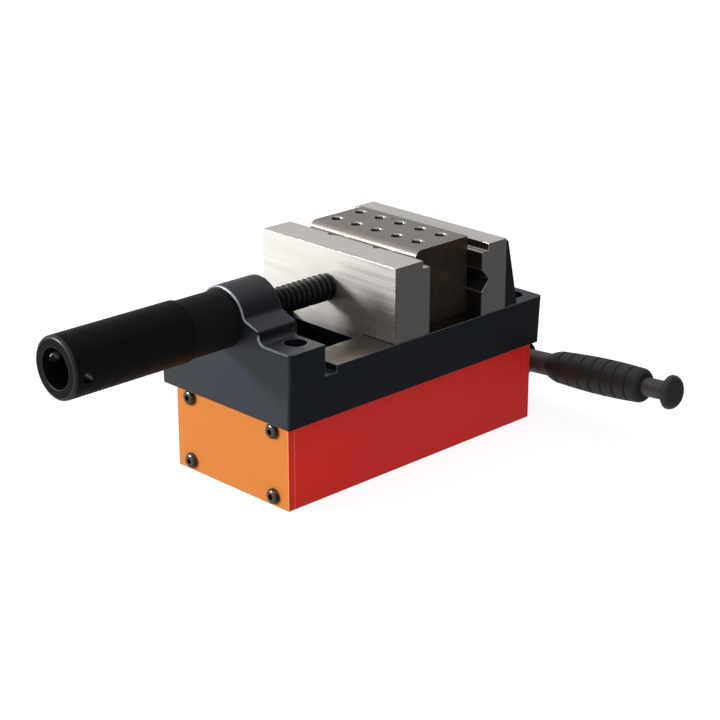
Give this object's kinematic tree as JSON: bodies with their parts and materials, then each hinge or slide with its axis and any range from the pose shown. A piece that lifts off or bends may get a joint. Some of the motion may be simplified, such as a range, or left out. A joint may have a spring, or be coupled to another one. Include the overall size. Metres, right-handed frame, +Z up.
{
  "type": "magnetic base vice",
  "caption": "Machine vice with a hollow sleeve nut, bolted on a switchable permanent magnet base with a gripped lever, holding a drilled block.",
  "frame": {"origin": "the middle of the magnet's holding face, at the bottom of the base", "axes": "+X along the vice towards the lever end, +Z up away from the holding face, -Y the side that the lever points to at rest"},
  "size_m": [0.352, 0.199, 0.127],
  "materials": {
    "red_paint": "satin",
    "orange_paint": "satin",
    "brass": "plain",
    "magnet": "dull",
    "grey_casting": "painted",
    "ground_steel": "ground",
    "block_steel": "milled",
    "black_steel": "black oxide",
    "plain_steel": "plain",
    "black_rubber": "matt"
  },
  "bodies": {
    "base": {"left_pole_block": "red_paint", "right_pole_block": "red_paint", "pole_spacer": "brass", "fixed_magnets": "magnet", "front_end_plate": "orange_paint", "rear_end_plate": "red_paint", "lever_stop_pin": "black_steel", "rotor_bushes": "brass", "vice_body": "grey_casting", "fixed_jaw_plate": "ground_steel"},
    "switch": {"rotor_segments": "ground_steel", "rotor_magnets": "magnet", "front_rotor_flange": "plain_steel", "rear_rotor_shaft": "plain_steel", "lever_hub": "black_steel", "lever_rod": "black_steel", "lever_grip": "black_rubber", "lever_head": "black_steel"},
    "sleeve": {"handle_tube": "black_steel", "screw_nut": "black_steel", "thrust_ring": "brass"},
    "jaw": {"moving_jaw": "ground_steel", "clamp_screw": "black_steel", "screw_lock_pin": "plain_steel", "keeper_plate": "black_steel"},
    "block": {"drilled_block": "block_steel"}
  },
  "joints": [
    {"name": "lever_turn", "type": "hinge", "parent": "base", "child": "switch", "pos_m": [0, 0, 0.0255], "axis": [1, 0, 0], "range_deg": [-170.8, 0]},
    {"name": "sleeve_turn", "type": "hinge", "parent": "base", "child": "sleeve", "pos_m": [-0.1, 0, 0.1025], "axis": [1, 0, 0], "range_deg": [-4050.5, 0]},
    {"name": "jaw_slide", "type": "slide", "parent": "base", "child": "jaw", "axis": [1, 0, 0], "range_m": [-0.045, 0]},
    {"name": "block_lift", "type": "slide", "parent": "base", "child": "block", "axis": [0, 0, 1], "range_m": [0, 0.06]}
  ],
  "couplings": [
    {"joint": "sleeve_turn", "follows": "jaw_slide", "rad_per_m": 1570.8}
  ]
}
